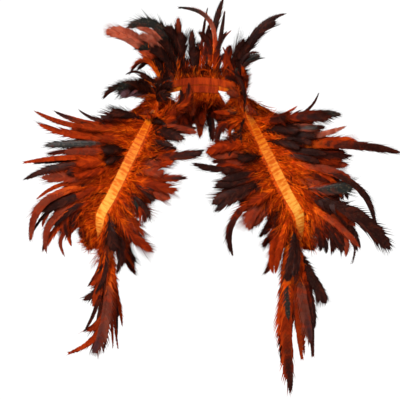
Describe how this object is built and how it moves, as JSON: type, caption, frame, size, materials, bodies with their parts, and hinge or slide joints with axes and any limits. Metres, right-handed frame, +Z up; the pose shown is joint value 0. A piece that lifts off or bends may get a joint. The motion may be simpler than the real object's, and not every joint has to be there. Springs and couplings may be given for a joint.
{
  "type": "feather cape",
  "caption": "Harness-shaped feather shrug: an orange ribbon round the neck and both arms, fringed on both edges with dyed cock feathers that stand up at the neck and hang at the sides.",
  "frame": {"origin": "middle of the neck opening, at the height where the ribbon sits on the sides of the neck", "axes": "+Z up along the neck, -Y to the front of the wearer, +X to the wearer's left"},
  "size_m": [0.5732, 0.2117, 0.5988],
  "materials": {
    "ribbon": "bright orange satin ribbon, slightly puckered by its stitching",
    "feather": "dyed cock feathers, orange down turning red-brown with glossy black tips, on a sewn head"
  },
  "bodies": {
    "root": {"neck_ribbon": "ribbon", "left_front_ribbon": "ribbon", "left_underarm_ribbon": "ribbon", "left_back_ribbon": "ribbon", "right_front_ribbon": "ribbon", "right_underarm_ribbon": "ribbon", "right_back_ribbon": "ribbon", "left_front_outer_fringe": "feather", "left_front_inner_fringe": "feather", "left_underarm_outer_fringe": "feather", "left_underarm_inner_fringe": "feather", "left_collar_fringe": "feather", "left_back_outer_fringe": "feather", "left_back_inner_fringe": "feather", "right_front_outer_fringe": "feather", "right_front_inner_fringe": "feather", "right_underarm_outer_fringe": "feather", "right_underarm_inner_fringe": "feather", "right_collar_fringe": "feather", "right_back_outer_fringe": "feather", "right_back_inner_fringe": "feather", "back_collar_fringe": "feather", "nape_fringe": "feather"}
  },
  "joints": []
}
